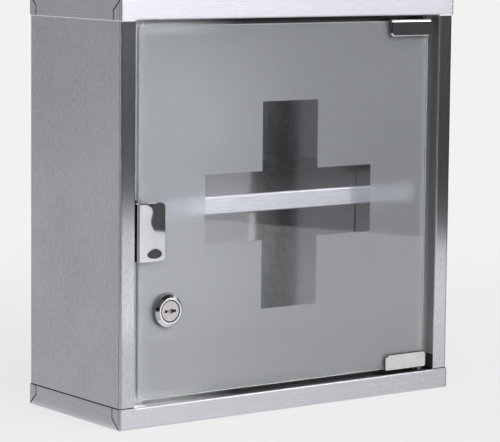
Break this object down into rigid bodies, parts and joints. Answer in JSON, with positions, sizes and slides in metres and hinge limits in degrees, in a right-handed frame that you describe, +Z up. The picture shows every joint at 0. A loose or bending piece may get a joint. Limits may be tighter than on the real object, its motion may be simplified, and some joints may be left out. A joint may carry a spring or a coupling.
{
  "type": "medicine cabinet",
  "caption": "Small brushed-steel wall cabinet with a frosted glass door that has a clear cross window, pivot clamps, a push latch, a cam lock and a fixed shelf inside.",
  "frame": {"origin": "middle of the underside of the cabinet's bottom cap", "axes": "+Z up, the glass door faces -Y, the wall is at +Y, +X to the viewer's right"},
  "size_m": [0.3, 0.1222, 0.3],
  "materials": {
    "steel_sheet": "fine brushed stainless sheet",
    "bright_chrome": "polished chrome plate",
    "satin_nickel": "satin nickel plate",
    "plated_steel": "zinc plated steel",
    "clear_glass": "clear polished glass",
    "frosted_glass": "etched frosted glass face",
    "soft_liner": "soft black plastic sheet",
    "bush_nylon": "black nylon",
    "latch_plastic": "grey moulded plastic",
    "magnet": "plated magnet",
    "wafer_brass": "plain brass"
  },
  "bodies": {
    "cabinet": {"left_shell": "steel_sheet", "right_shell": "steel_sheet", "top_cap": "steel_sheet", "bottom_cap": "steel_sheet", "back_panel": "steel_sheet", "shelf": "steel_sheet", "hinge_bush_top": "bush_nylon", "hinge_bush_bottom": "bush_nylon", "latch_bracket": "steel_sheet", "latch_housing": "latch_plastic", "latch_end_cap": "latch_plastic", "latch_spring": "plated_steel", "latch_screws": "plated_steel"},
    "door": {"door_glass": "clear_glass", "frosted_layer": "frosted_glass", "hinge_clamp_top": "bright_chrome", "hinge_clamp_bottom": "bright_chrome", "clamp_liner_top": "soft_liner", "clamp_liner_bottom": "soft_liner", "clamp_screws": "plated_steel", "pivot_pin_top": "plated_steel", "pivot_pin_bottom": "plated_steel", "strike_plate": "bright_chrome", "strike_liner": "soft_liner", "strike_screw": "plated_steel", "lock_body": "bright_chrome", "lock_gasket": "soft_liner", "lock_washer": "plated_steel", "lock_nut": "plated_steel"},
    "lock_core": {"lock_plug": "satin_nickel", "lock_wafers": "wafer_brass", "lock_cam": "plated_steel", "cam_washer": "plated_steel", "cam_screw": "plated_steel"},
    "plunger": {"latch_plunger": "latch_plastic", "latch_magnet": "magnet"}
  },
  "joints": [
    {"name": "door_hinge", "type": "hinge", "parent": "cabinet", "child": "door", "pos_m": [0.124, -0.0564, 0.15], "axis": [0, 0, 1], "range_deg": [0, 130]},
    {"name": "lock_turn", "type": "hinge", "parent": "door", "child": "lock_core", "pos_m": [-0.1088, -0.0484, 0.0814], "axis": [0, 1, 0], "range_deg": [0, 90]},
    {"name": "latch_push", "type": "slide", "parent": "cabinet", "child": "plunger", "axis": [0, 1, 0], "range_m": [0, 0.0025], "stiffness_N_per_m": 300, "springref_m": -0.004}
  ]
}
